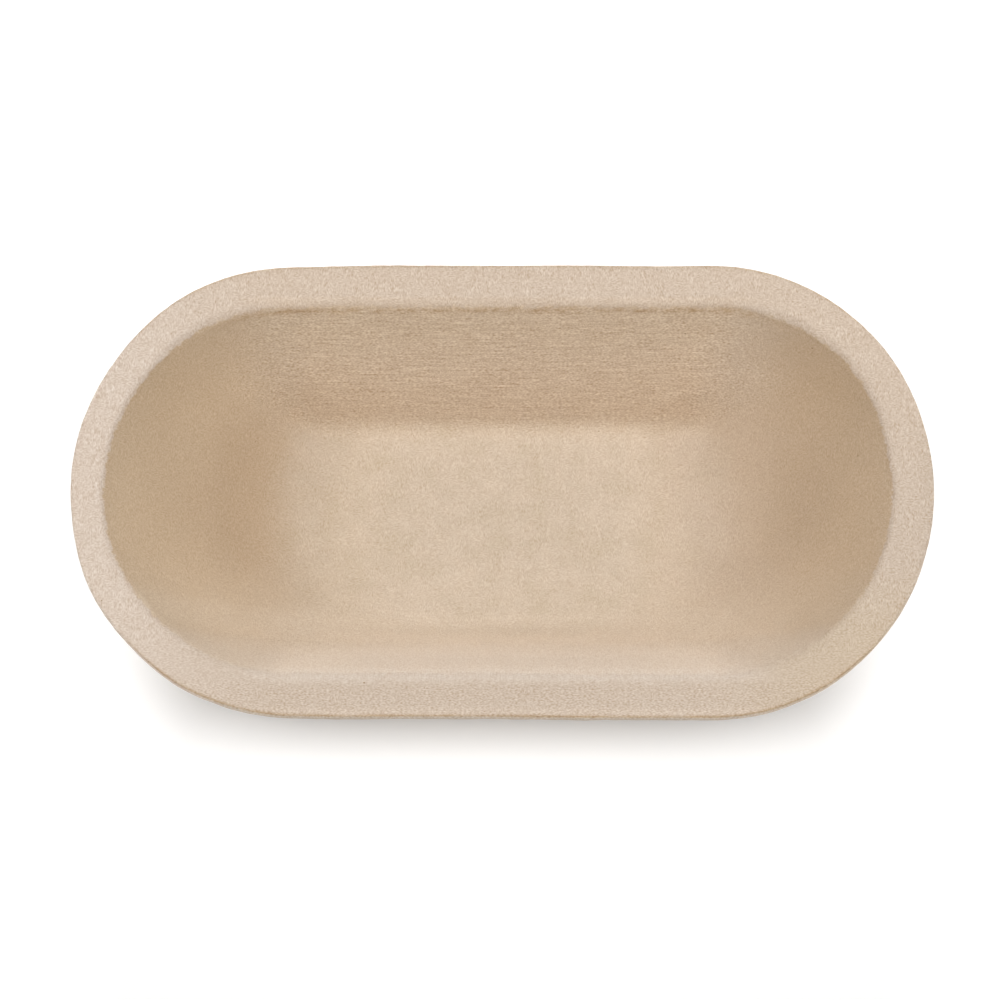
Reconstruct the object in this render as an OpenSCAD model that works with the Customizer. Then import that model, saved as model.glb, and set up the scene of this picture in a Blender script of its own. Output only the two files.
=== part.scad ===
// Long proofing basket of moulded wood pulp: a single moulding with a flat floor, steep long
// walls, sloping ends that turn from square at the floor to round at the rim, and a broad
// flat rim, wider along the sides than round the ends. The origin is the middle of the base,
// with the length along X and the mouth up along Z. Sizes are in millimetres and angles in
// degrees.

/* [Outline] */
// Overall length over the rim
basket_length = 280; // [240:2:340]
// Overall width over the rim
basket_width = 150; // [134:2:190]
// Overall height from the base to the top of the rim
basket_height = 80; // [60:1:110]
// Length of the straight stretch of each long side
straight_length = 142; // [90:2:180]

/* [Rim] */
// Width of the rim along the sides, from its outer edge to the wall, before the edges are rounded
rim_side_width = 14; // [10:0.2:18]
// The same width round the ends
rim_end_width = 11; // [9:0.2:18]
// Radius of the rim's inner edge
rim_inner_radius = 5.5; // [1:0.5:8]
// Radius of the rim's outer edge
rim_outer_radius = 1.2; // [0.4:0.2:3]
// Height of the upright face round the outside of the rim
rim_face_height = 5; // [3.5:0.5:12]

/* [Inside] */
// Length of the floor from end wall to end wall
floor_length = 146; // [120:2:190]
// Width of the floor from long wall to long wall
floor_width = 70; // [50:1:90]
// How far the floor's ends bow out between their corners
floor_bow = 3; // [1:0.5:12]
// How far the end walls bow out where they don't pass the straight sides
wall_bow = 14; // [4:0.5:18]
// Height above the floor at which the end walls reach that bow
bow_rise = 14; // [6:1:30]
// Radius where the floor turns up into the long walls
side_fillet = 7; // [2:0.5:15]
// Radius where the floor turns up into the end walls
end_fillet = 36; // [8:1:45]

/* [Thickness] */
// Thickness of the floor
floor_thickness = 11; // [7:0.5:16]
// Thickness of the walls at their foot
wall_thickness = 11; // [7:0.5:16]

/* [Smoothness] */
// Steps in each quarter of the round ends
end_steps = 20; // [8:1:24]
// Steps up the fillets at the foot of the walls
foot_steps = 8; // [5:1:12]
// Steps up the plain stretch of the walls
wall_steps = 4; // [2:1:6]
// Steps round the edges of the rim
rim_steps = 5; // [3:1:7]

/* [Hidden] */

// How far the shape that hollows the basket stands above the rim
cut_clearance = 2;

// Inside: the walls run from the floor's edges up to the rim
depth = basket_height - floor_thickness;
inner_side_foot = floor_width / 2;
inner_end_foot = floor_length / 2;
inner_side_top = basket_width / 2 - rim_side_width;
inner_end_top = basket_length / 2 - rim_end_width;
inner_side_lean = atan2(inner_side_top - inner_side_foot, depth);
inner_end_lean = atan2(inner_end_top - inner_end_foot, depth);

// Outside: the walls run from the base's edges up to the foot of the rim's upright face
outer_rise = basket_height - rim_face_height;
outer_side_foot = outer_foot(inner_side_foot, inner_side_lean);
outer_end_foot = outer_foot(inner_end_foot, inner_end_lean);
outer_side_lean = atan2(basket_width / 2 - outer_side_foot, outer_rise);
outer_end_lean = atan2(basket_length / 2 - outer_end_foot, outer_rise);
outer_side_fillet = side_fillet + wall_thickness;
outer_end_fillet = end_fillet + wall_thickness;
outer_bow = floor_bow + wall_thickness;

// Where the outer wall meets the base, one wall thickness out from the inner wall
function outer_foot(inner_foot, lean) =
    inner_foot - floor_thickness * tan(lean) + wall_thickness / cos(lean);

// Length that a rounding takes off each of the two faces beside it, on a wall that leans out
function rounding_setback(radius, lean) = radius * tan((90 - lean) / 2);

// Height that the same rounding takes up
function rounding_height(radius, lean) = radius * (1 - sin(lean));

// How far a quarter-round has come out at a height above its flat start
function round_reach(radius, height) = sqrt(radius ^ 2 - (radius - height) ^ 2);

// Distance of a leaning wall from the middle at a height, with a fillet at its foot
function wall_reach(height, foot, lean, fillet) =
    height < rounding_height(fillet, lean)
        ? foot - rounding_setback(fillet, lean) + round_reach(fillet, height)
        : foot + height * tan(lean);

// The same for the inner wall, which rolls over into the rim at its top
function inner_reach(height, foot, top, lean, fillet) =
    depth - height < rounding_height(rim_inner_radius, lean)
        ? top + rounding_setback(rim_inner_radius, lean) - round_reach(rim_inner_radius, depth - height)
        : wall_reach(height, foot, lean, fillet);

// The same for the outer wall, which ends in the rim's upright face and its rounded edge
function outer_reach(height, foot, top, lean, fillet) =
    height > basket_height - rim_outer_radius
        ? top - rim_outer_radius + round_reach(rim_outer_radius, basket_height - height)
        : height > outer_rise ? top : wall_reach(height, foot, lean, fillet);

// Bow of the inner end walls, which grows from the floor's up to their own
function inner_bow(height) = floor_bow + (wall_bow - floor_bow) * min(1, height / bow_rise);

// Heights of the rings up a fillet, closest together at its flat start
function fillet_heights(low, rise) =
    [for (step = [0 : foot_steps]) low + rise * (step / foot_steps) ^ 2];

// Heights of the rings up a plain stretch of wall, evenly spaced between its two ends
function wall_heights(low, high) =
    [for (step = [1 : wall_steps - 1]) low + (high - low) * step / wall_steps];

// Heights of the rings up a rounded edge, closest together at its flat end
function edge_heights(high, rise) =
    [for (step = [rim_steps : -1 : 0]) high - rise * (step / rim_steps) ^ 2];

// Depth of a round end along the length: the overhang past the straight sides, blended into
// the ring's own bow where there is no overhang
function end_depth(half_length, bow) =
    let (half_overhang = (half_length - straight_length / 2) / 2)
    half_overhang + sqrt(half_overhang ^ 2 + bow ^ 2);

// One level ring: two straight sides joined by two half-ellipses
function ring(half_length, half_width, height, bow) =
    let (
        depth_of_end = end_depth(half_length, bow),
        half_straight = half_length - depth_of_end
    )
    [
        for (turn = [0, 180], step = [-end_steps : end_steps])
            let (angle = turn + 90 * step / end_steps)
            [cos(turn) * half_straight + depth_of_end * cos(angle), half_width * sin(angle), height]
    ];

// Solid through a stack of level rings that all have the same number of points
module loft(rings) {
    count = len(rings[0]);
    last = len(rings) - 1;
    points = [for (level = rings) each level];
    bottom = [for (i = [0 : count - 1]) i];
    top = [for (i = [count - 1 : -1 : 0]) last * count + i];
    walls = [
        for (level = [0 : last - 1], i = [0 : count - 1])
            let (a = level * count + i, b = level * count + (i + 1) % count)
            each [[a, a + count, b + count], [a, b + count, b]]
    ];
    polyhedron(points, concat([bottom, top], walls));
}

// The basket before it is hollowed
module outer_form() {
    fillet_height = max(
        rounding_height(outer_side_fillet, outer_side_lean),
        rounding_height(outer_end_fillet, outer_end_lean)
    );
    heights = concat(
        fillet_heights(0, fillet_height),
        wall_heights(fillet_height, outer_rise),
        [outer_rise],
        edge_heights(basket_height, rim_outer_radius)
    );
    loft([
        for (height = heights)
            ring(
                outer_reach(height, outer_end_foot, basket_length / 2, outer_end_lean, outer_end_fillet),
                outer_reach(height, outer_side_foot, basket_width / 2, outer_side_lean, outer_side_fillet),
                height,
                outer_bow
            )
    ]);
}

// The space for the dough, carried on past the rim to cut clear of it
module dough_space() {
    fillet_height = max(
        rounding_height(side_fillet, inner_side_lean),
        rounding_height(end_fillet, inner_end_lean)
    );
    edge_height = max(
        rounding_height(rim_inner_radius, inner_side_lean),
        rounding_height(rim_inner_radius, inner_end_lean)
    );
    heights = concat(
        fillet_heights(0, fillet_height),
        wall_heights(fillet_height, depth - edge_height),
        edge_heights(depth, edge_height)
    );
    rings = [
        for (height = heights)
            ring(
                inner_reach(height, inner_end_foot, inner_end_top, inner_end_lean, end_fillet),
                inner_reach(height, inner_side_foot, inner_side_top, inner_side_lean, side_fillet),
                floor_thickness + height,
                inner_bow(height)
            )
    ];
    mouth = rings[len(rings) - 1];
    above_mouth = [for (point = mouth) point + [0, 0, cut_clearance]];
    loft(concat(rings, [above_mouth]));
}

module pulp_basket() {
    color("#d6c2ab")
        difference() {
            outer_form();
            dough_space();
        }
}

pulp_basket();
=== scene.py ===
"""A long proofing basket moulded in one piece from wood pulp, on a white floor, seen from high above.

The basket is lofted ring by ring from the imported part's sizes, roughened the way felted pulp dries,
and dressed in one procedural finish. Lengths are in metres unless a name ends in _mm, and angles
are in degrees.
"""

import logging
import math
from dataclasses import dataclass
from dataclasses import field
from enum import Enum

import bmesh
import bpy
from bpy.types import Node
from bpy.types import NodeSocket
from bpy.types import NodeTree
from bpy.types import Object
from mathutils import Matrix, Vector


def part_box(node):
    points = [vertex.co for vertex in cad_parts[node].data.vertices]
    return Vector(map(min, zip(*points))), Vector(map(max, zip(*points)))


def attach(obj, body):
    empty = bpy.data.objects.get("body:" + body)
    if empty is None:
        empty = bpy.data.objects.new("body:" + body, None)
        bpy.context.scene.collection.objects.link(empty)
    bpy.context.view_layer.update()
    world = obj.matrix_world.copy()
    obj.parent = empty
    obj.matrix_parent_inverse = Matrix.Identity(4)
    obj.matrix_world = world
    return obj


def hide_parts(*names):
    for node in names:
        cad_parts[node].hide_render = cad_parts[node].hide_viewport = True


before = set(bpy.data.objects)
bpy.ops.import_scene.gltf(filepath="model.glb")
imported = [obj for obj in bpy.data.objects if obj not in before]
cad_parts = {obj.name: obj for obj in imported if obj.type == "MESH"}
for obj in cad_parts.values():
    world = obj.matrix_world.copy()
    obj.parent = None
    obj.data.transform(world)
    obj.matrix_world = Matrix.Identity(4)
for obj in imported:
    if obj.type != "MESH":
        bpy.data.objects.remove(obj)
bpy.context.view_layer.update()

MM = 0.001
ORIGIN = (0.0, 0.0, 0.0)

# Share of a round end's depth that a point lies past the straight sides to count as the end's
END_MARGIN = 1e-4

# Finer layers that a relief's noise adds to its own grain
RELIEF_OCTAVES = 2

# What a node's input can be linked from
Source = Node | NodeSocket

# Linear red, green and blue, with alpha
Colour = tuple[float, float, float, float]

log = logging.getLogger("proofing_basket")


def linear_colour(hex_code: str) -> Colour:
    """Turn an sRGB hex colour into linear light.

    Args:
        hex_code: Colour such as "#d6c2ab".

    Returns:
        Linear red, green and blue, with a full alpha.
    """
    channels = []
    for start in (1, 3, 5):
        value = int(hex_code[start:start + 2], 16) / 255
        dark = value <= 0.04045
        channels.append(value / 12.92 if dark else ((value + 0.055) / 1.055) ** 2.4)
    return (channels[0], channels[1], channels[2], 1.0)


def add_node(
    tree: NodeTree,
    kind: str,
    inputs: dict[str | int, object] | None = None,
    **settings: object,
) -> Node:
    """Add a node, set its properties, and fill or link its inputs.

    Args:
        tree: Node tree that takes the node.
        kind: Blender's name for the kind of node, without ShaderNode in front.
        inputs: Values, or nodes or sockets to link from, by the input's name or place. A name means
            the first input in use that has it, and a node gives its first output in use.
        **settings: Properties of the node.

    Returns:
        The new node.
    """
    node = tree.nodes.new(f"ShaderNode{kind}")
    for name, value in settings.items():
        setattr(node, name, value)
    for name, value in (inputs or {}).items():
        if isinstance(name, int):
            socket = node.inputs[name]
        else:
            socket = next(each for each in node.inputs if each.enabled and each.name == name)
        if isinstance(value, Node):
            value = next(each for each in value.outputs if each.enabled)
        if isinstance(value, NodeSocket):
            tree.links.new(value, socket)
        else:
            socket.default_value = value
    return node


def deselect_all() -> None:
    """Leave object mode with nothing selected."""
    if bpy.context.object and bpy.context.object.mode != "OBJECT":
        bpy.ops.object.mode_set(mode="OBJECT")
    bpy.ops.object.select_all(action="DESELECT")


class Zone(Enum):
    """Parts of the basket's skin that look different, each a vertex group and an attribute."""

    RIM = "rim"
    LIP = "lip"
    EDGE = "edge"
    CREASE = "crease"
    OUTSIDE = "outside"

    @property
    def attribute(self) -> str:
        """Name of the attribute that holds the zone's weights."""
        return f"{self.value}_share"


class Reach(Enum):
    """Directions in which a place lies from the middle of the basket."""

    UP = "up"
    END = "end"
    LEFT = "left"
    BACK = "back"
    FRONT = "front"


@dataclass(frozen=True)
class Ring:
    """One level ring of the form: two straight sides joined by two half-ellipses."""

    half_length: float
    half_width: float
    height: float
    end_depth: float
    middle: float
    zones: dict[Zone, float] = field(default_factory=dict)

    @property
    def half_straight(self) -> float:
        """Half the length of the straight sides."""
        return self.half_length - self.end_depth


@dataclass(frozen=True)
class Relief:
    """One layer of unevenness in the pulp."""

    name: str
    grain_mm: float
    depth_mm: float
    zone: Zone | None = None
    level: float = 0.5
    stretch: tuple[float, float, float] = (1.0, 1.0, 1.0)


@dataclass(frozen=True)
class Softening:
    """Part of the inside whose bends are rounded off: past X, between two Y, and below a height."""

    start_x_mm: float
    low_y_mm: float
    high_y_mm: float
    top_mm: float
    rounds: int

    def holds(self, place: Vector) -> bool:
        """Tell whether a place, in metres, lies in it on either end of the basket."""
        x, y, z = place / MM
        return abs(x) > self.start_x_mm and self.low_y_mm < y < self.high_y_mm and z < self.top_mm


@dataclass(frozen=True)
class Bulge:
    """A place on the rim that dried a little out of line, and how far it is pushed."""

    place_mm: tuple[float, float]
    push_mm: tuple[float, float]
    reach_mm: float
    inside: bool = False


@dataclass(frozen=True)
class Tint:
    """A part of the basket laid in another tone, mostly as painted light or shade.

    Each fade is a direction, the distance in millimetres where the tone starts, and the distance
    where it has come in. The second may be the smaller one.
    """

    tone: str
    strength: float
    fades: tuple[tuple[Reach, float, float], ...]


@dataclass(frozen=True)
class Breaks:
    """A noise that tells where something shows: least below its low level, and fully above its high."""

    grain_mm: float
    low: float
    high: float
    least: float = 0.0
    detail: float = 2.0


@dataclass(frozen=True)
class WoodPulp:
    """Wood pulp that was drawn onto a screen, pressed and dried.

    It is matt and felted. The screen's wires leave patches of fine hatching, along the basket in one
    patch and across it in the next, most plainly on the rim and the back wall. The colour drifts in
    soft patches, and bark leaves a few dark specks. The hatching is finer than a pixel, so it is drawn
    with lines about half a millimetre wide.
    """

    name: str = "moulded_wood_pulp"
    pale: str = "#ccbca9"
    cream: str = "#d0c0ad"
    tan: str = "#c7b7a2"
    rim: str = "#cab8a6"
    # Tan of torn-fibre burrs, and of painted edge shade along the front and back outer edges.
    burr_and_edge_shade_tan: str = "#b59875"
    # Painted shade in the crease under the back rim.
    crease_shade_brown: str = "#b59266"
    bark: str = "#a58a6b"
    roughness: float = 0.92
    specular_level: float = 0.2
    sheen: float = 0.5
    sheen_roughness: float = 0.5
    sheen_tint: str = "#f3e7d7"
    # All but the first tint are painted light and shade, lighter or darker where lamps fall more or less.
    tints_and_painted_light: tuple[Tint, ...] = (
        # Walls more tan than the floor, by height.
        Tint("#ceb8a0", 0.5, ((Reach.UP, 12, 24),)),
        Tint("#c6a985", 0.5, ((Reach.END, 68, 120),)),
        Tint("#c6b39a", 0.33, ((Reach.LEFT, 30, 60),)),
        Tint("#d4c0a9", 0.4, ((Reach.LEFT, -35, -60), (Reach.LEFT, -100, -80))),
        Tint("#d6bb99", 0.3, ((Reach.LEFT, 62, 88),)),
        Tint("#c0a688", 0.22, ((Reach.LEFT, -74, -104),)),
        Tint("#d9c2a7", 0.6, ((Reach.BACK, 28.5, 39), (Reach.END, 80, 60))),
        Tint("#dec7a9", 0.3, ((Reach.BACK, 50, 57), (Reach.END, 90, 70))),
        Tint("#e0ccb4", 0.35, ((Reach.BACK, 57, 61), (Reach.END, 90, 70))),
        Tint("#c8b8aa", 0.6, ((Reach.FRONT, 40, 52),)),
        Tint("#b4a596", 0.2, ((Reach.FRONT, 40, 45), (Reach.FRONT, 56, 51), (Reach.END, 95, 75))),
        Tint("#e0d0bc", 0.42, ((Reach.FRONT, 26, 34), (Reach.FRONT, 43, 37), (Reach.END, 85, 65))),
        Tint("#e0d0bc", 0.2, ((Reach.FRONT, 29, 34), (Reach.FRONT, 44, 39), (Reach.LEFT, -10, 20))),
        Tint("#b4a596", 0.08, ((Reach.FRONT, 41, 46), (Reach.FRONT, 56, 51), (Reach.LEFT, 5, -20))),
        Tint("#d8c8b4", 0.2, ((Reach.FRONT, 15, 40), (Reach.END, 40, 60))),
        Tint(
            "#b2997c", 0.28,
            ((Reach.LEFT, 66, 84), (Reach.LEFT, 100, 90), (Reach.BACK, -24, -6), (Reach.BACK, 40, 22))),
        Tint("#b8986f", 0.1, ((Reach.END, 75, 100), (Reach.BACK, 18, 40))),
        Tint("#b8986f", 0.06, ((Reach.LEFT, -75, -100), (Reach.BACK, 18, 40))),
        Tint("#b09a7c", 0.1, ((Reach.LEFT, -75, -100), (Reach.FRONT, 18, 36))),
        Tint("#dccab4", 0.35, ((Reach.FRONT, 42, 50), (Reach.END, 75, 88), (Reach.END, 118, 106))),
    )
    # Painted light and shade on the rim: lighter at back, left, back roll, front strip; darker at right.
    rim_painted_light: tuple[Tint, ...] = (
        Tint("#d0bdaa", 1.0, ((Reach.BACK, -20, 60),)),
        Tint("#d5c4b4", 1.0, ((Reach.LEFT, 70, 130),)),
        Tint("#bfae9c", 0.3, ((Reach.LEFT, -133, -141),)),
        Tint("#c9b59a", 0.5, ((Reach.LEFT, -60, -110), (Reach.FRONT, 20, 50))),
        Tint("#dccbb9", 0.35, ((Reach.FRONT, 70.5, 73),)),
        Tint("#dcc6ae", 0.4, ((Reach.BACK, 60, 62), (Reach.BACK, 65, 63), (Reach.END, 90, 70))),
    )
    # Painted highlight: the front rim's inner roll made lighter where it catches the light.
    front_lip_highlight: Tint = Tint(
        "#ddcfc1", 0.72, ((Reach.FRONT, 54, 59.5), (Reach.FRONT, 64.5, 60.5), (Reach.END, 95, 65)))
    outside: Tint = Tint("#d4c1aa", 0.6, ())
    back_start_mm: tuple[float, float] = (29.0, 43.0)
    back_end_mm: tuple[float, float] = (98.0, 66.0)
    front_start_mm: tuple[float, float] = (45.0, 58.0)
    front_wall_mm: tuple[float, float] = (32.0, 46.0)
    front_lip_mm: tuple[float, float] = (59.0, 66.0)
    patch_mm: float = 9.0
    patch_stops: tuple[float, float, float] = (0.3, 0.5, 0.7)
    wire_gap_mm: float = 0.4
    wire_run_mm: float = 0.82
    wire_rise_mm: float = 0.9
    weave: Breaks = Breaks(5.0, 0.45, 0.6)
    weave_gain: float = 0.15
    drag_mm: float = 9.0
    drag_share: float = 0.3
    front_drag_mm: float = 3.0
    front_drag_share: float = 0.45
    tear_mm: float = 2.0
    fray: float = 8.0
    rim_border: tuple[float, float] = (0.4, 0.8)
    burrs: Breaks = Breaks(0.9, 0.76, 0.92)
    burr_gain: float = 0.14
    burr_reach: float = 0.3
    # Where the painted dark line of edge shade on the front and back breaks off.
    line: Breaks = Breaks(8.0, 0.3, 0.6, least=0.4, detail=3.0)
    line_sharpness: float = 14.0
    back_line_share: float = 0.6
    # Where the painted crease shade breaks off.
    crease: Breaks = Breaks(3.0, 0.3, 0.7)
    speck_gap_mm: float = 7.0
    speck_mm: float = 0.2
    speckless_share: float = 0.4
    floor_shade: float = 0.52
    back_shade: float = 1.3
    rim_shade: float = 0.7
    front_shade: float = 0.8
    front_lip_shade: float = 0.5
    front_wall_shade: float = 1.0
    outside_shade: float = 0.7
    shade_channels: tuple[float, float, float] = (0.72, 1.0, 1.28)
    bump_mm: float = 0.06


@dataclass
class PulpShader:
    """The material of a wood-pulp finish, laid out in millimetres from the middle of the base."""

    finish: WoodPulp

    def __post_init__(self) -> None:
        """Start the material, and read where a spot lies and how far out in each direction."""
        self.material = bpy.data.materials.new(self.finish.name)
        self.material.use_nodes = True
        self.tree = self.material.node_tree
        self.tree.nodes.clear()
        place = self.add("TexCoord").outputs["Object"]
        self.spot = self.add("VectorMath", {0: place, "Scale": 1 / MM}, operation="SCALE")
        parts = self.add("SeparateXYZ", {"Vector": self.spot}).outputs
        self.distances = {
            Reach.UP: parts["Z"],
            Reach.END: self.add("Math", {0: parts["X"]}, operation="ABSOLUTE"),
            Reach.LEFT: self.add("Math", {0: parts["X"], 1: -1.0}, operation="MULTIPLY"),
            Reach.BACK: parts["Y"],
            Reach.FRONT: self.add("Math", {0: parts["Y"], 1: -1.0}, operation="MULTIPLY"),
        }

    def add(
        self, kind: str, inputs: dict[str | int, object] | None = None, **settings: object,
    ) -> Node:
        """Add a node to the material."""
        return add_node(self.tree, kind, inputs, **settings)

    def build(self) -> bpy.types.Material:
        """Join colour, grain and gloss in one shader.

        Returns:
            The material.
        """
        finish = self.finish
        grain = self.grain()
        bump = self.add("Bump", {"Height": grain, "Distance": finish.bump_mm * MM, "Strength": 1.0})
        shader = self.add(
            "BsdfPrincipled",
            {
                "Base Color": self.colour(grain),
                "Roughness": finish.roughness,
                "Specular IOR Level": finish.specular_level,
                "Sheen Weight": finish.sheen,
                "Sheen Roughness": finish.sheen_roughness,
                "Sheen Tint": linear_colour(finish.sheen_tint),
                "Normal": bump,
            })
        self.add("OutputMaterial", {"Surface": shader})
        return self.material

    def zone(self, zone: Zone) -> NodeSocket:
        """Read how far a spot belongs to a zone."""
        return self.add("Attribute", attribute_name=zone.attribute).outputs["Fac"]

    def fade(self, reach: Reach, start_mm: float, full_mm: float) -> Node:
        """Tell how far a spot lies out in a direction.

        Args:
            reach: The direction.
            start_mm: Distance up to which the answer is 0.
            full_mm: Distance from which it is 1.

        Returns:
            A share from 0 to 1.
        """
        limits = {"Value": self.distances[reach], "From Min": start_mm, "From Max": full_mm}
        return self.add("MapRange", limits, interpolation_type="SMOOTHSTEP")

    def faded(
        self, share: Source | float, fades: tuple[tuple[Reach, float, float], ...],
    ) -> Source | float:
        """Limit a share to where all of some fades have come in.

        Args:
            share: The share to limit.
            fades: Direction, start and full distance of each fade.

        Returns:
            The smaller share.
        """
        for fade in fades:
            share = self.add("Math", {0: share, 1: self.fade(*fade)}, operation="MULTIPLY")
        return share

    def layered(
        self,
        base: Source | Colour | float,
        layers: list[tuple[Source | float, Source | Colour | float]],
        data_type: str = "FLOAT",
    ) -> Source | Colour | float:
        """Lay values or colours over each other.

        Args:
            base: What lies lowest.
            layers: The share of each layer, and the layer.
            data_type: "FLOAT" for values, "RGBA" for colours.

        Returns:
            What shows.
        """
        for share, layer in layers:
            base = self.add("Mix", {"Factor": share, "A": base, "B": layer}, data_type=data_type)
        return base

    def broken(self, breaks: Breaks, lift: Source | float = 0.0, gain: float = 0.0) -> Node:
        """Draw where something shows and where it breaks off.

        Args:
            breaks: The noise and its levels.
            lift: Share by which the noise is raised, so that more shows.
            gain: How much a full lift raises it.

        Returns:
            A share from 0, or the least that the breaks leave, to 1.
        """
        noise = self.add(
            "TexNoise",
            {"Vector": self.spot, "Scale": 1 / breaks.grain_mm, "Detail": breaks.detail})
        raised = self.add("Math", {0: lift, 1: gain, 2: noise}, operation="MULTIPLY_ADD")
        levels = {"From Min": breaks.low, "From Max": breaks.high, "To Min": breaks.least}
        return self.add("MapRange", {"Value": raised, **levels})

    def back_wall(self) -> Source:
        """Tell how far a spot belongs to the back wall, which fades out towards the round ends.

        Returns:
            A share from 0 to 1.
        """
        finish = self.finish
        inner = self.add("Math", {0: 1.0, 1: self.zone(Zone.RIM)}, operation="SUBTRACT")
        return self.faded(
            inner, ((Reach.BACK, *finish.back_start_mm), (Reach.END, *finish.back_end_mm)))

    def front_wall(self) -> Source:
        """Tell how far a spot belongs to the front wall, between the floor, the rim's lip and the ends.

        Returns:
            A share from 0 to 1.
        """
        finish = self.finish
        lip_start, lip_full = finish.front_lip_mm
        return self.faded(
            self.fade(Reach.FRONT, *finish.front_wall_mm),
            ((Reach.FRONT, lip_full, lip_start), (Reach.END, *finish.back_end_mm)))

    def streaks(self, sizes_mm: tuple[float, float, float]) -> Node:
        """Draw a noise that is drawn out along the axes.

        Args:
            sizes_mm: Size of the grain along X, Y and Z.

        Returns:
            The noise, from 0 to 1.
        """
        scale = tuple(1 / size for size in sizes_mm)
        drawn_out = self.add("Mapping", {"Vector": self.spot, "Scale": scale})
        return self.add("TexNoise", {"Vector": drawn_out, "Scale": 1.0, "Detail": 0.0})

    def grain(self) -> Source:
        """Draw the hatching that the screen leaves, in patches along and across the basket.

        Along the front rim and on the back wall most patches lie along the basket. The back wall also
        has faint drag lines along it, and the front wall has some down it.

        Returns:
            The height of the fine grain, around 0.5.
        """
        finish = self.finish
        gap = finish.wire_gap_mm
        run = finish.wire_run_mm
        rise = finish.wire_rise_mm
        drag = finish.front_drag_mm
        back = self.back_wall()
        front = self.fade(Reach.FRONT, *finish.front_start_mm)
        lengthways = self.add("Math", {0: back, 1: front}, operation="ADD")
        back_drag = self.add("Math", {0: back, 1: finish.drag_share}, operation="MULTIPLY")
        front_drag = self.add(
            "Math", {0: self.front_wall(), 1: finish.front_drag_share}, operation="MULTIPLY")
        layers = [
            (self.broken(finish.weave, lengthways, finish.weave_gain), self.streaks((run, gap, rise))),
            (back_drag, self.streaks((finish.drag_mm, gap, rise))),
            (front_drag, self.streaks((gap, drag, drag))),
        ]
        return self.layered(self.streaks((gap, run, run)), layers)

    def colour(self, grain: Source) -> Node:
        """Shade the tone of the pulp by its grain, more in blue than in red.

        Args:
            grain: Height of the fine grain.

        Returns:
            The base colour.
        """
        centred = self.add("Math", {0: grain, 1: 0.5}, operation="SUBTRACT")
        shade = self.add("Math", {0: centred, 1: self.shade_strength()}, operation="MULTIPLY")
        by_channel = self.add(
            "VectorMath",
            {0: shade, 1: self.finish.shade_channels, 2: (1.0, 1.0, 1.0)}, operation="MULTIPLY_ADD")
        return self.add(
            "Mix", {"Factor": 1.0, "A": self.tone(), "B": by_channel},
            data_type="RGBA", blend_type="MULTIPLY")

    def shade_strength(self) -> Source:
        """Tell how strongly the grain shades each part of the basket.

        Returns:
            The strength.
        """
        finish = self.finish
        lip = self.fade(Reach.FRONT, *finish.front_lip_mm)
        front = self.fade(Reach.FRONT, *finish.front_start_mm)
        front_rim = self.layered(finish.front_lip_shade, [(lip, finish.front_shade)])
        layers = [
            (self.back_wall(), finish.back_shade),
            (self.front_wall(), finish.front_wall_shade),
            (self.zone(Zone.RIM), self.layered(finish.rim_shade, [(front, front_rim)])),
            (self.zone(Zone.OUTSIDE), finish.outside_shade),
        ]
        return self.layered(finish.floor_shade, layers)

    def tone(self) -> Source:
        """Mix the tone from patches, painted light and shade, rim, burrs, edge and crease shade, and
        bark.

        Returns:
            The colour without its grain.
        """
        finish = self.finish
        patches = self.patches()
        layers = [
            (self.ragged_rim(), self.tinted(linear_colour(finish.rim), finish.rim_painted_light)),
            self.tint_layer(finish.front_lip_highlight),
            (self.zone(Zone.OUTSIDE), self.tinted(patches, (finish.outside,))),
            (self.burrs_and_edge_shade(), linear_colour(finish.burr_and_edge_shade_tan)),
            (self.painted_crease_shade(), linear_colour(finish.crease_shade_brown)),
            (self.specks(), linear_colour(finish.bark)),
        ]
        return self.layered(self.tinted(patches, finish.tints_and_painted_light), layers, "RGBA")

    def tinted(self, tone: Source | Colour, tints_and_painted_light: tuple[Tint, ...]) -> Source | Colour:
        """Tint parts of a tone, one after the other."""
        return self.layered(tone, [self.tint_layer(tint) for tint in tints_and_painted_light], "RGBA")

    def tint_layer(self, tint: Tint) -> tuple[Source | float, Colour]:
        """Give the share and the colour of a tint."""
        return self.faded(tint.strength, tint.fades), linear_colour(tint.tone)

    def patches(self) -> Node:
        """Draw the soft patches in which the pulp's colour drifts.

        Returns:
            The colour.
        """
        finish = self.finish
        noise = self.add(
            "TexNoise", {"Vector": self.spot, "Scale": 1 / finish.patch_mm, "Detail": 3.0})
        ramp = self.add("ValToRGB", {"Fac": noise})
        low, middle, high = finish.patch_stops
        stops = ramp.color_ramp.elements
        stops[0].position = low
        stops[0].color = linear_colour(finish.tan)
        stops[1].position = high
        stops[1].color = linear_colour(finish.cream)
        stops.new(middle).color = linear_colour(finish.pale)
        return ramp

    def ragged_rim(self) -> Node:
        """Draw how far the rim's pulp reaches, with a ragged inner border.

        Returns:
            A share from 0 to 1.
        """
        finish = self.finish
        rim = self.zone(Zone.RIM)
        rest = self.add("Math", {0: 1.0, 1: rim}, operation="SUBTRACT")
        border = self.add("Math", {0: rim, 1: rest}, operation="MULTIPLY")
        tears = self.add(
            "TexNoise", {"Vector": self.spot, "Scale": 1 / finish.tear_mm, "Detail": 3.0})
        centred = self.add("Math", {0: tears, 1: 0.5}, operation="SUBTRACT")
        fray = self.add("Math", {0: centred, 1: border}, operation="MULTIPLY")
        frayed = self.add("Math", {0: fray, 1: finish.fray, 2: rim}, operation="MULTIPLY_ADD")
        low, high = finish.rim_border
        return self.add("MapRange", {"Value": frayed, "From Min": low, "From Max": high})

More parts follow.
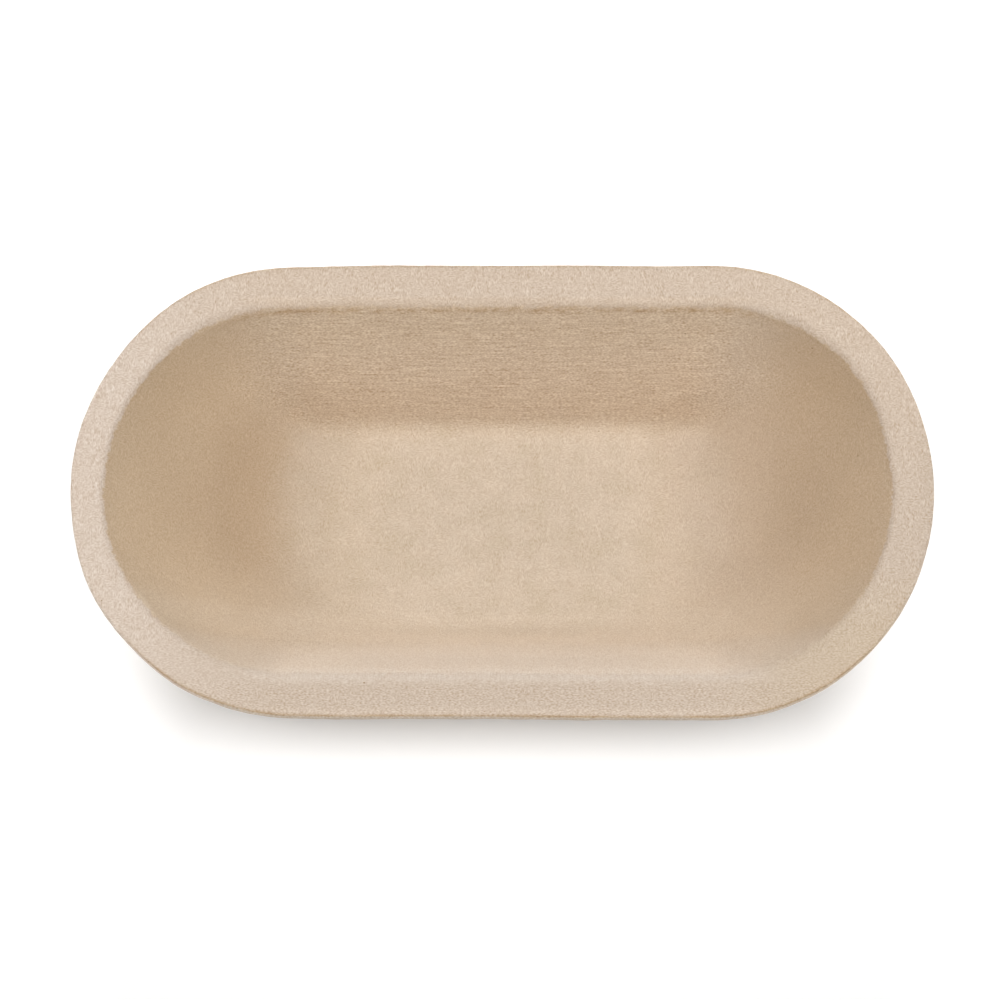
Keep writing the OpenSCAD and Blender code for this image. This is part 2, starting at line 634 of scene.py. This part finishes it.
    def burrs_and_edge_shade(self) -> Node:
        """Draw torn-fibre burrs on the rim's outer edge, and painted dark edge shade at the front and
        back.

        Returns:
            How far the burrs and the painted edge shade show, from 0 to 1.
        """
        finish = self.finish
        edge = self.zone(Zone.EDGE)
        near_edge = self.add("MapRange", {"Value": edge, "From Max": finish.burr_reach})
        torn = self.broken(finish.burrs, edge, finish.burr_gain)
        burrs = self.add("Math", {0: near_edge, 1: torn}, operation="MULTIPLY")
        front = self.fade(Reach.FRONT, *finish.front_start_mm)
        back = self.fade(Reach.BACK, *finish.front_start_mm)
        sides = self.add(
            "Math", {0: back, 1: finish.back_line_share, 2: front}, operation="MULTIPLY_ADD")
        outermost = self.add("Math", {0: edge, 1: finish.line_sharpness}, operation="POWER")
        line = self.add("Math", {0: sides, 1: outermost}, operation="MULTIPLY")
        broken_line = self.add("Math", {0: line, 1: self.broken(finish.line)}, operation="MULTIPLY")
        return self.add("Math", {0: burrs, 1: broken_line}, operation="MAXIMUM")

    def painted_crease_shade(self) -> Node:
        """Draw painted shade in the crease under the back rim, here strong and there weak."""
        crease = self.zone(Zone.CREASE)
        return self.add("Math", {0: crease, 1: self.broken(self.finish.crease)}, operation="MULTIPLY")

    def specks(self) -> Node:
        """Strew a few bits of bark, each with its own size.

        Returns:
            How dark the bark lies there, from 0 to 1.
        """
        finish = self.finish
        bits = self.add("TexVoronoi", {"Vector": self.spot, "Scale": 1 / finish.speck_gap_mm})
        parts = self.add("SeparateColor", {"Color": bits.outputs["Color"]})
        size = self.add(
            "MapRange",
            {
                "Value": parts.outputs["Green"],
                "From Min": finish.speckless_share,
                "To Max": 2 * finish.speck_mm / finish.speck_gap_mm,
            })
        return self.add("Math", {0: bits, 1: size}, operation="LESS_THAN")


@dataclass
class PulpBasket:
    """The basket: floor, steep long walls, sloping round ends and a broad flat rim in one moulding."""

    length: float
    width: float
    height: float
    finish: WoodPulp
    straight_length: float = 142 * MM
    rim_end_width: float = 11 * MM
    rim_back_width: float = 13.3 * MM
    rim_front_width: float = 14 * MM
    rim_back_roll: float = 4.5 * MM
    rim_front_roll: float = 5.5 * MM
    rim_end_roll: float = 3.2 * MM
    rim_end_radius: float = 0.5 * MM
    rim_back_radius: float = 0.9 * MM
    rim_front_radius: float = 1.2 * MM
    rim_end_fray: float = 2.1 * MM
    rim_face_height: float = 5 * MM
    floor_length: float = 146 * MM
    floor_width: float = 70 * MM
    floor_bow: float = 3 * MM
    side_fillet: float = 7 * MM
    front_fillet: float = 14 * MM
    end_fillet: float = 36 * MM
    floor_thickness: float = 11 * MM
    wall_thickness: float = 11 * MM
    wall_bow: float = 14 * MM
    bow_rise: float = 14 * MM
    lip_inset: float = 0.6 * MM
    crease_width: float = 1.5 * MM
    crease_reach: float = 75 * MM
    crease_fade: float = 20 * MM
    box_margin: float = 0.05 * MM
    middle_bow: float = 40 * MM
    middle_width: float = 0.1 * MM
    end_columns: int = 42
    side_columns: int = 24
    flat_steps: int = 3
    foot_steps: int = 6
    wall_steps: int = 5
    edge_steps: int = 3
    edge_weights: tuple[float, ...] = (0.94, 1.0, 0.85, 0.6)
    face_edge_weight: float = 0.3
    lip_edge_weight: float = 0.75
    crease_weight: float = 0.9
    crease_step: float = 0.4
    soften_factor: float = 0.5
    rim_steps: int = 5
    smooth_levels: int = 2
    reliefs: tuple[Relief, ...] = (
        Relief("lumps", grain_mm=16, depth_mm=0.35),
        Relief("dents", grain_mm=5, depth_mm=0.18),
        Relief("pits", grain_mm=2.4, depth_mm=0.18, zone=Zone.RIM),
        Relief("ragged_lip", grain_mm=4, depth_mm=0.7, zone=Zone.LIP),
        Relief("rough_outside", grain_mm=7, depth_mm=0.6, zone=Zone.OUTSIDE),
        Relief("creasing", grain_mm=7, depth_mm=-0.5, zone=Zone.CREASE, level=0.3),
    )
    softenings: tuple[Softening, ...] = (
        Softening(start_x_mm=40, low_y_mm=-60, high_y_mm=-12, top_mm=50, rounds=30),
        Softening(start_x_mm=40, low_y_mm=-30, high_y_mm=12, top_mm=50, rounds=6),
        Softening(start_x_mm=50, low_y_mm=18, high_y_mm=60, top_mm=45, rounds=10),
        Softening(start_x_mm=-1, low_y_mm=-50, high_y_mm=-20, top_mm=35, rounds=10),
    )
    bulges: tuple[Bulge, ...] = (
        Bulge((122, 45), (0.3, 0.1), 40),
        Bulge((112, -60), (-0.1, 0.15), 40),
        Bulge((58, 75), (0.0, -0.2), 40),
        Bulge((-15, 75), (0.0, -0.1), 60),
        Bulge((-72, 75), (0.0, -0.6), 35),
        Bulge((-90, 73), (0.0, -0.4), 25),
        Bulge((-136, -28), (-0.5, 0.0), 25),
        Bulge((-118, -55), (0.4, 0.4), 22),
        Bulge((-88, -72), (0.3, 0.8), 40),
        Bulge((-122, 45), (0.7, -0.5), 40),
        Bulge((-25, -75), (0.0, 0.45), 70),
        Bulge((-127, 0), (-1.4, 0.0), 60, inside=True),
        Bulge((-104, 44), (-0.9, 0.6), 45, inside=True),
        Bulge((104, 44), (0.4, 0.3), 45, inside=True),
        Bulge((127, 0), (-1.6, 0.0), 60, inside=True),
        Bulge((108, -42), (-0.6, 0.3), 45, inside=True),
    )

    def __post_init__(self) -> None:
        """Work out where the end, back and front walls start, end and lean."""
        thickness = Vector.Fill(3, self.wall_thickness)
        self.depth = self.height - self.floor_thickness
        self.rise = self.height - self.rim_face_height
        self.inner_foot = Vector((self.floor_length / 2, self.floor_width / 2, self.floor_width / 2))
        self.outer_top = Vector((self.length / 2, self.width / 2, self.width / 2))
        rim_width = Vector((self.rim_end_width, self.rim_back_width, self.rim_front_width))
        self.inner_top = self.outer_top - rim_width
        self.inner_roll = Vector((self.rim_end_roll, self.rim_back_roll, self.rim_front_roll))
        self.outer_round = Vector((self.rim_end_radius, self.rim_back_radius, self.rim_front_radius))
        self.inner_lean = self.leans(self.inner_foot, self.inner_top, self.depth)
        self.inner_fillet = Vector((self.end_fillet, self.side_fillet, self.front_fillet))
        self.outer_foot = Vector([
            foot - self.floor_thickness * math.tan(lean) + self.wall_thickness / math.cos(lean)
            for foot, lean in zip(self.inner_foot, self.inner_lean)
        ])
        self.outer_lean = self.leans(self.outer_foot, self.outer_top, self.rise)
        self.outer_fillet = Vector((self.end_fillet, self.side_fillet, self.side_fillet)) + thickness
        self.outer_bow = self.floor_bow + self.wall_thickness

    @staticmethod
    def leans(foot: Vector, top: Vector, rise: float) -> Vector:
        """Give the angle from upright, in radians, of the end, back and front walls."""
        return Vector([math.atan2(high - low, rise) for low, high in zip(foot, top)])

    @staticmethod
    def setback(radius: float, lean: float) -> float:
        """Give the length that a rounding takes off each face beside it."""
        return radius * math.tan((math.pi / 2 - lean) / 2)

    @staticmethod
    def rounding_height(radius: float, lean: float) -> float:
        """Give the height that a rounding takes up."""
        return radius * (1 - math.sin(lean))

    @staticmethod
    def round_reach(radius: float, height: float) -> float:
        """Give how far a quarter-round has come out at a height above its flat start."""
        return math.sqrt(max(0.0, radius ** 2 - (radius - height) ** 2))

    def wall_reach(self, height: float, foot: float, lean: float, fillet: float) -> float:
        """Give the distance from the middle of a leaning wall with a fillet at its foot.

        Args:
            height: Height above the foot.
            foot: Distance of the wall's foot from the middle.
            lean: Angle of the wall from upright, in radians.
            fillet: Radius at the foot.

        Returns:
            The distance.
        """
        if height < self.rounding_height(fillet, lean):
            return foot - self.setback(fillet, lean) + self.round_reach(fillet, height)
        return foot + height * math.tan(lean)

    def inner_reach(self, height: float) -> Vector:
        """Give the distances of the inner end, back and front walls from the middle.

        Args:
            height: Height above the floor.

        Returns:
            The three distances.
        """
        below = self.depth - height
        reach = []
        walls = zip(self.inner_foot, self.inner_top, self.inner_lean, self.inner_fillet, self.inner_roll)
        for foot, top, lean, fillet, roll in walls:
            if below < self.rounding_height(roll, lean):
                reach.append(top + self.setback(roll, lean) - self.round_reach(roll, below))
            else:
                reach.append(self.wall_reach(height, foot, lean, fillet))
        return Vector(reach)

    def outer_reach(self, height: float) -> Vector:
        """Give the distances of the outer end, back and front walls from the middle.

        Args:
            height: Height above the base.

        Returns:
            The three distances.
        """
        below = self.height - height
        if height > self.rise:
            turns = [
                radius - self.round_reach(radius, below) if below < radius else 0.0
                for radius in self.outer_round
            ]
            return self.outer_top - Vector(turns)
        return Vector([
            self.wall_reach(height, foot, lean, fillet)
            for foot, lean, fillet in zip(self.outer_foot, self.outer_lean, self.outer_fillet)
        ])

    def ring(self, reach: Vector, height: float, bow: float, **zones: float) -> Ring:
        """Lay out a level ring.

        Args:
            reach: How far the ring's ends, back and front lie from the middle.
            height: Its height above the base.
            bow: How far its ends bow out where they don't pass the straight sides.
            **zones: Weights of the zones that it belongs to, by name.

        Returns:
            The ring.
        """
        end, back, front = reach
        overhang = (end - self.straight_length / 2) / 2
        end_depth = overhang + math.hypot(overhang, bow)
        weights = {Zone[name.upper()]: weight for name, weight in zones.items()}
        return Ring(end, (back + front) / 2, height, end_depth, (back - front) / 2, weights)

    def flat_rings(self, edge: Vector, height: float, bow: float, **zones: float) -> list[Ring]:
        """Lay out the rings of a flat area from its middle line out to, but without, its edge.

        Args:
            edge: How far the area's ends, back and front lie from the middle.
            height: Its height above the base.
            bow: Bow of the ends at its edge.
            **zones: Weights of its zones.

        Returns:
            The rings, the first one closed up to a line.
        """
        end, back, front = edge
        half_width = (back + front) / 2
        middle = (back - front) / 2
        rings = []
        for step in range(self.flat_steps):
            share = step / self.flat_steps
            width = max(half_width * share, self.middle_width / 2)
            reach = Vector((end - half_width * (1 - share) / 2, middle + width, width - middle))
            blended_bow = self.middle_bow + (bow - self.middle_bow) * share
            rings.append(self.ring(reach, height, blended_bow, **zones))
        return rings

    def outer_rings(self) -> list[Ring]:
        """Lay out the base, the outer wall and the rim's outer edge, from the base's middle up."""
        tallest = max(map(self.rounding_height, self.outer_fillet, self.outer_lean))
        rings = self.flat_rings(self.outer_reach(0), 0, self.outer_bow, outside=1)
        heights = [tallest * (step / self.foot_steps) ** 2 for step in range(self.foot_steps + 1)]
        plain = self.rise - tallest
        heights += [tallest + plain * (step + 1) / self.wall_steps for step in range(self.wall_steps)]
        for height in heights:
            edge = self.face_edge_weight if height == heights[-1] else 0.0
            reach = self.outer_reach(height)
            rings.append(self.ring(reach, height, self.outer_bow, outside=1, edge=edge))
        for step in range(self.edge_steps, -1, -1):
            height = self.height - max(self.outer_round) * (step / self.edge_steps) ** 2
            edge = self.edge_weights[step]
            rings.append(self.ring(self.outer_reach(height), height, self.outer_bow, edge=edge, rim=1))
        return rings

    def rim_rings(self) -> list[Ring]:
        """Lay out the flat top of the rim, between its two rounded edges."""
        outer = self.outer_reach(self.height)
        inner = self.inner_reach(self.depth)
        rings = []
        shares = [self.lip_inset / (outer.y - inner.y)]
        shares += [step / self.flat_steps for step in range(1, self.flat_steps)]
        for share in shares:
            bow = self.outer_bow + (self.wall_bow - self.outer_bow) * share
            edge = self.lip_edge_weight if share == shares[0] else 0.0
            rings.append(self.ring(outer.lerp(inner, share), self.height, bow, rim=1, edge=edge))
        return rings

    def inner_rings(self) -> list[Ring]:
        """Lay out the rim's inner edge, the inner wall and the floor, down to the floor's middle."""
        edge_height = max(map(self.rounding_height, self.inner_roll, self.inner_lean))
        foot_height = max(map(self.rounding_height, self.inner_fillet, self.inner_lean))
        rings = []
        for step in range(self.rim_steps + 1):
            share = step / self.rim_steps
            height = self.depth - edge_height * share ** 2
            crease = max(0.0, self.crease_weight - self.crease_step * (self.rim_steps - step))
            rings.append(self.inner_ring(height, rim=1 - share ** 2, lip=float(step > 0), crease=crease))
        rings.append(self.inner_ring(self.depth - edge_height - self.crease_width))
        plain = self.depth - edge_height - self.crease_width - foot_height
        for step in range(1, self.wall_steps + 1):
            rings.append(self.inner_ring(foot_height + plain * (1 - step / self.wall_steps)))
        for step in range(self.foot_steps - 1, -1, -1):
            rings.append(self.inner_ring(foot_height * (step / self.foot_steps) ** 2))
        rings += reversed(self.flat_rings(self.inner_reach(0), self.floor_thickness, self.floor_bow))
        return rings

    def inner_ring(self, height: float, **zones: float) -> Ring:
        """Lay out one ring of the inner wall at a height above the floor."""
        bow = self.floor_bow + (self.wall_bow - self.floor_bow) * min(1.0, height / self.bow_rise)
        return self.ring(self.inner_reach(height), self.floor_thickness + height, bow, **zones)

    def build(self) -> Object:
        """Model the whole basket.

        Returns:
            The finished piece, at the origin.
        """
        rings = self.outer_rings() + self.rim_rings() + self.inner_rings()
        basket = self.loft(rings)
        self.trim_rim(basket)
        self.fade_crease(basket)
        for softening in self.softenings:
            self.soften(basket, softening)
        for bulge in self.bulges:
            self.push_out(basket, bulge)
        self.smooth(basket)
        self.share_zones(basket)
        for relief in self.reliefs:
            self.roughen(basket, relief)
        self.fit_box(basket)
        basket.data.materials.append(PulpShader(self.finish).build())
        return basket

    def loft(self, rings: list[Ring]) -> Object:
        """Draw the first ring and extrude it through all the others.

        Args:
            rings: The rings in order, from the base's middle to the floor's middle.

        Returns:
            A closed cage of four-sided faces.
        """
        deselect_all()
        bpy.ops.mesh.primitive_circle_add(vertices=2 * self.end_columns, radius=1.0)
        basket = bpy.context.object
        basket.name = "wood_pulp_basket"
        basket.data.name = basket.name
        for zone in Zone:
            basket.vertex_groups.new(name=zone.value)
        bpy.ops.object.mode_set(mode="EDIT")
        bpy.ops.mesh.select_mode(type="VERT")
        self.draw_first_ring(basket, rings[0])
        for old, new in zip(rings, rings[1:]):
            bpy.ops.mesh.extrude_edges_indiv()
            self.reshape(basket, old, new)
            self.assign_zones(basket, new)
        bpy.ops.mesh.select_all(action="SELECT")
        bpy.ops.mesh.remove_doubles(threshold=2 * self.middle_width)
        bpy.ops.mesh.normals_make_consistent(inside=False)
        bpy.ops.object.mode_set(mode="OBJECT")
        return basket

    def draw_first_ring(self, basket: Object, ring: Ring) -> None:
        """Pull the circle apart into two half-ellipses and cut the straight sides between them.

        The circle is turned by half a step first, so that no vertex lies between the two halves.

        Args:
            basket: The object in edit mode, holding a circle of radius 1.
            ring: The ring to draw.
        """
        cage = bmesh.from_edit_mesh(basket.data)
        half_step = math.pi / len(cage.verts)
        size = (ring.end_depth, ring.half_width / math.cos(half_step), 1.0)
        bpy.ops.mesh.select_all(action="SELECT")
        bpy.ops.transform.rotate(value=half_step, orient_axis="Z", center_override=ORIGIN)
        bpy.ops.transform.resize(value=size, center_override=ORIGIN)
        for side in (1, -1):
            for vertex in cage.verts:
                vertex.select = vertex.co.x * side > 0
            cage.select_flush_mode()
            bpy.ops.transform.translate(value=(side * ring.half_straight, ring.middle, ring.height))
        for edge in cage.edges:
            edge.select = edge.verts[0].co.x * edge.verts[1].co.x < 0
        bpy.ops.mesh.subdivide(number_cuts=self.side_columns - 1)
        bpy.ops.mesh.select_all(action="SELECT")
        self.assign_zones(basket, ring)

    @staticmethod
    def reshape(basket: Object, old: Ring, new: Ring) -> None:
        """Turn the selected copy of one ring into the next.

        Args:
            basket: The object in edit mode, with the copied ring selected.
            old: The ring that was copied.
            new: The ring to make of it.
        """
        cage = bmesh.from_edit_mesh(basket.data)
        ring = [vertex for vertex in cage.verts if vertex.select]
        widening = (1.0, new.half_width / old.half_width, 1.0)
        bpy.ops.transform.resize(value=widening, center_override=(0.0, old.middle, 0.0))
        bpy.ops.transform.translate(value=(0, new.middle - old.middle, new.height - old.height))
        limit = old.half_straight + old.end_depth * END_MARGIN
        stretches = {
            1: [vertex for vertex in ring if vertex.co.x > limit],
            -1: [vertex for vertex in ring if vertex.co.x < -limit],
        }
        ends = set(stretches[1] + stretches[-1])
        stretches[0] = [vertex for vertex in ring if vertex not in ends]
        for side, stretch in stretches.items():
            for vertex in ring:
                vertex.select = False
            for vertex in stretch:
                vertex.select = True
            cage.select_flush_mode()
            growth = new.end_depth / old.end_depth if side else new.half_straight / old.half_straight
            middle = (side * old.half_straight, 0.0, 0.0)
            bpy.ops.transform.resize(value=(growth, 1.0, 1.0), center_override=middle)
            bpy.ops.transform.translate(value=(side * (new.half_straight - old.half_straight), 0, 0))
        for vertex in ring:
            vertex.select = True
        cage.select_flush(True)

    @staticmethod
    def assign_zones(basket: Object, ring: Ring) -> None:
        """Weigh the selected ring in the vertex groups of its zones.

        Args:
            basket: The object in edit mode, with the ring selected.
            ring: The ring, with its zones.
        """
        for zone in Zone:
            basket.vertex_groups.active_index = basket.vertex_groups[zone.value].index
            bpy.context.tool_settings.vertex_group_weight = ring.zones.get(zone, 0.0)
            bpy.ops.object.vertex_group_assign()

    def trim_rim(self, basket: Object) -> None:
        """End the rim with its inner roll, which is lower round the ends than along the sides.

        Args:
            basket: The lofted cage.
        """
        side_roll = self.rounding_height(self.inner_roll.y, self.inner_lean.y)
        rim = basket.vertex_groups[Zone.RIM.value]
        lip = basket.vertex_groups[Zone.LIP.value]
        half_straight = self.straight_length / 2
        for vertex in basket.data.vertices:
            if lip.weight(vertex.index):
                past = max(0.0, abs(vertex.co.x) - half_straight) / (self.inner_top.x - half_straight)
                roll = side_roll + (self.rim_end_fray - side_roll) * min(1.0, past)
                share = min(1.0, (self.height - vertex.co.z) / roll)
                rim.add([vertex.index], 1.0 - share ** 2, "REPLACE")

    def fade_crease(self, basket: Object) -> None:
        """Keep the crease along the back only, and let it fade towards the ends.

        Args:
            basket: The lofted cage.
        """
        group = basket.vertex_groups[Zone.CREASE.value]
        for vertex in basket.data.vertices:
            past = (abs(vertex.co.x) - self.crease_reach) / self.crease_fade
            weight = 1.0 - min(1.0, max(0.0, past))
            if vertex.co.y < 0:
                weight = 0.0
            group.add([vertex.index], weight * group.weight(vertex.index), "REPLACE")

    def soften(self, basket: Object, softening: Softening) -> None:
        """Round off the bends of the inside where the pulp lies thickest.

        Args:
            basket: The lofted cage.
            softening: The part to soften and how often.
        """
        bpy.ops.object.mode_set(mode="EDIT")
        cage = bmesh.from_edit_mesh(basket.data)
        weights = cage.verts.layers.deform.verify()
        skipped = [basket.vertex_groups[zone.value].index for zone in (Zone.OUTSIDE, Zone.RIM, Zone.EDGE)]
        for vertex in cage.verts:
            inside = not any(vertex[weights].get(index, 0.0) for index in skipped)
            vertex.select = inside and softening.holds(vertex.co)
        cage.select_flush_mode()
        bpy.ops.mesh.vertices_smooth(factor=self.soften_factor, repeat=softening.rounds)
        bpy.ops.object.mode_set(mode="OBJECT")

    def push_out(self, basket: Object, bulge: Bulge) -> None:
        """Push one place of the rim out of line, and its surroundings with it.

        Args:
            basket: The lofted cage.
            bulge: The place and the push. The outer skin is hidden from a push inside, and stays.
        """
        place = Vector((bulge.place_mm[0] * MM, bulge.place_mm[1] * MM, self.height))
        bpy.ops.object.mode_set(mode="EDIT")
        bpy.ops.mesh.select_all(action="DESELECT")
        cage = bmesh.from_edit_mesh(basket.data)
        if bulge.inside:
            weights = cage.verts.layers.deform.verify()
            outer = [basket.vertex_groups[zone.value].index for zone in (Zone.OUTSIDE, Zone.EDGE)]
            for vertex in cage.verts:
                vertex.select = any(vertex[weights].get(index, 0.0) for index in outer)
            cage.select_flush_mode()
            bpy.ops.mesh.hide()
        nearest = min(cage.verts, key=lambda vertex: (vertex.co - place).length)
        nearest.select = True
        cage.select_flush_mode()
        bpy.ops.transform.translate(
            value=(bulge.push_mm[0] * MM, bulge.push_mm[1] * MM, 0.0),
            use_proportional_edit=True,
            proportional_edit_falloff="SMOOTH",
            proportional_size=bulge.reach_mm * MM)
        bpy.ops.mesh.reveal(select=False)
        bpy.ops.object.mode_set(mode="OBJECT")

    def fit_box(self, basket: Object) -> None:
        """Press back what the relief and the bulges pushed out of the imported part's box.

        Args:
            basket: The finished skin.
        """
        margin = Vector.Fill(3, self.box_margin)
        low = Vector((-self.length / 2, -self.width / 2, 0)) + margin
        high = Vector((self.length / 2, self.width / 2, self.height)) - margin
        for vertex in basket.data.vertices:
            vertex.co = Vector([
                min(top, max(bottom, value)) for bottom, value, top in zip(low, vertex.co, high)])

    def smooth(self, basket: Object) -> None:
        """Subdivide the cage into a fine skin.

        Args:
            basket: The object to smooth.
        """
        modifier = basket.modifiers.new("skin", "SUBSURF")
        modifier.levels = self.smooth_levels
        modifier.render_levels = self.smooth_levels
        bpy.ops.object.modifier_apply(modifier=modifier.name)
        bpy.ops.object.shade_smooth()

    @staticmethod
    def share_zones(basket: Object) -> None:
        """Copy the zones' weights to attributes that the finish reads.

        Args:
            basket: The object with its vertex groups.
        """
        mesh = basket.data
        for zone in Zone:
            index = basket.vertex_groups[zone.value].index
            attribute = mesh.attributes.new(zone.attribute, "FLOAT", "POINT")
            for vertex in mesh.vertices:
                weights = [group.weight for group in vertex.groups if group.group == index]
                attribute.data[vertex.index].value = weights[0] if weights else 0.0

    @staticmethod
    def roughen(basket: Object, relief: Relief) -> None:
        """Press one layer of unevenness into the skin.

        Args:
            basket: The object to roughen.
            relief: The layer.
        """
        texture = bpy.data.textures.new(relief.name, "CLOUDS")
        texture.noise_scale = relief.grain_mm * MM
        texture.noise_depth = RELIEF_OCTAVES
        modifier = basket.modifiers.new(relief.name, "DISPLACE")
        modifier.texture = texture
        modifier.texture_coords = "LOCAL"
        modifier.strength = relief.depth_mm * MM
        modifier.mid_level = relief.level
        if relief.zone:
            modifier.vertex_group = relief.zone.value
        bpy.ops.object.modifier_apply(modifier=modifier.name)


@dataclass(frozen=True)
class SoftLamp:
    """A round studio lamp, placed by its tilt from straight above and its bearing from the right."""

    name: str
    tilt: float
    bearing: float
    power: float
    distance: float = 1.6
    size: float = 0.5
    stretch: float = 1.0

    def build(self, target: Vector, receivers: bpy.types.Collection) -> None:
        """Hang the lamp and aim it.

        Args:
            target: Point that it is aimed at.
            receivers: What it lights.
        """
        tilt = math.radians(self.tilt)
        bearing = math.radians(self.bearing)
        light = bpy.data.lights.new(self.name, "AREA")
        light.shape = "ELLIPSE"
        light.size = self.size * self.stretch
        light.size_y = self.size
        light.energy = self.power
        lamp = bpy.data.objects.new(self.name, light)
        lamp.location = self.distance * Vector((
            math.sin(tilt) * math.cos(bearing), math.sin(tilt) * math.sin(bearing), math.cos(tilt)))
        lamp.rotation_euler = (target - lamp.location).to_track_quat("-Z", "Y").to_euler()
        lamp.light_linking.receiver_collection = receivers
        bpy.context.scene.collection.objects.link(lamp)
        log.info("lamp %s", self.name)


@dataclass
class Studio:
    """The white floor, the lamps and the camera."""

    subject_height: float
    elevation: float = 79.0
    camera_distance: float = 1.88
    image_px: float = 1000.0
    px_per_mm: float = 3.086
    rim_middle_px: tuple[float, float] = (502.2, 490.1)
    sensor_mm: float = 36.0
    floor_size: float = 6.0
    floor_white: float = 0.9
    floor_glow: float = 0.15
    lamps: tuple[SoftLamp, ...] = (
        SoftLamp("right_lamp", 42, 0, 12.4),
        SoftLamp("left_lamp", 42, 180, 13.9),
        SoftLamp("high_right_lamp", 22, 0, 3.1),
        SoftLamp("back_lamp", 64, 90, 6.1),
        SoftLamp("front_lamp", 64, 270, 3.4),
    )
    floor_lamps: tuple[SoftLamp, ...] = (
        SoftLamp("floor_lamp", 7.5, 270, 26.8, stretch=3.4),
        SoftLamp("floor_back_lamp", 60, 90, 23.0),
    )

    def build(self, basket: Object) -> None:
        """Set up the floor, the lamps, the white surroundings and the camera.

        Args:
            basket: The piece in the studio.
        """
        floor = self.build_floor()
        target = Vector((0, 0, self.subject_height / 2))
        for lit, lamps in ((basket, self.lamps), (floor, self.floor_lamps)):
            receivers = bpy.data.collections.new(f"{lit.name}_light")
            receivers.objects.link(lit)
            for lamp in lamps:
                lamp.build(target, receivers)
        self.build_world()
        self.build_camera()
        bpy.context.scene.view_settings.view_transform = "Standard"

    def build_floor(self) -> Object:
        """Lay the floor, white to the camera and keeping the basket's shadow.

        Returns:
            The floor.
        """
        deselect_all()
        bpy.ops.mesh.primitive_plane_add(size=self.floor_size)
        floor = bpy.context.object
        floor.name = "floor"
        material = bpy.data.materials.new("white_paper")
        material.use_nodes = True
        tree = material.node_tree
        tree.nodes.clear()
        white = (self.floor_white, self.floor_white, self.floor_white, 1.0)
        paper = add_node(tree, "BsdfDiffuse", {"Color": white})
        seen = self.seen_by_camera(tree)
        strength = add_node(tree, "Math", {0: seen, 1: self.floor_glow}, operation="MULTIPLY")
        glow = add_node(tree, "Emission", {"Strength": strength})
        both = add_node(tree, "AddShader", {0: paper, 1: glow})
        add_node(tree, "OutputMaterial", {"Surface": both})
        floor.data.materials.append(material)
        return floor

    @staticmethod
    def seen_by_camera(tree: NodeTree) -> Node:
        """Tell rays that show the background from rays that light the basket.

        Args:
            tree: Node tree that takes the nodes.

        Returns:
            1 for camera, mirror and see-through rays, 0 for others.
        """
        path = add_node(tree, "LightPath").outputs
        seen = path["Is Camera Ray"]
        for ray in ("Is Glossy Ray", "Is Transmission Ray"):
            seen = add_node(tree, "Math", {0: seen, 1: path[ray]}, operation="MAXIMUM")
        return seen

    def build_world(self) -> None:
        """Make the surroundings white to the camera only."""
        world = bpy.data.worlds.new("white_surroundings")
        bpy.context.scene.world = world
        world.use_nodes = True
        tree = world.node_tree
        tree.nodes.clear()
        seen = self.seen_by_camera(tree)
        background = add_node(tree, "Background", {"Color": (1, 1, 1, 1), "Strength": seen})
        add_node(tree, "OutputWorld", {"Surface": background})

    def build_camera(self) -> None:
        """Place the camera so that the rim's middle lands where the photograph has it."""
        tilt = math.radians(self.elevation)
        data = bpy.data.cameras.new("camera")
        data.sensor_width = self.sensor_mm
        data.lens = self.px_per_mm / MM * self.camera_distance / self.image_px * self.sensor_mm
        data.shift_x = (self.image_px / 2 - self.rim_middle_px[0]) / self.image_px
        data.shift_y = (self.rim_middle_px[1] - self.image_px / 2) / self.image_px
        camera = bpy.data.objects.new("camera", data)
        back = Vector((0, -math.cos(tilt), math.sin(tilt)))
        camera.location = Vector((0, 0, self.subject_height)) + back * self.camera_distance
        camera.rotation_euler = (math.pi / 2 - tilt, 0, 0)
        bpy.context.scene.collection.objects.link(camera)
        bpy.context.scene.camera = camera


def main() -> None:
    """Build the basket and its studio."""
    logging.basicConfig(level=logging.INFO)
    low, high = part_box("pulp_basket")
    size = high - low
    basket = PulpBasket(size.x, size.y, size.z, WoodPulp()).build()
    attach(basket, "root")
    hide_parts("pulp_basket")
    log.info("piece %s: %d faces", basket.name, len(basket.data.polygons))
    Studio(subject_height=size.z).build(basket)


if __name__ == "__main__":
    main()
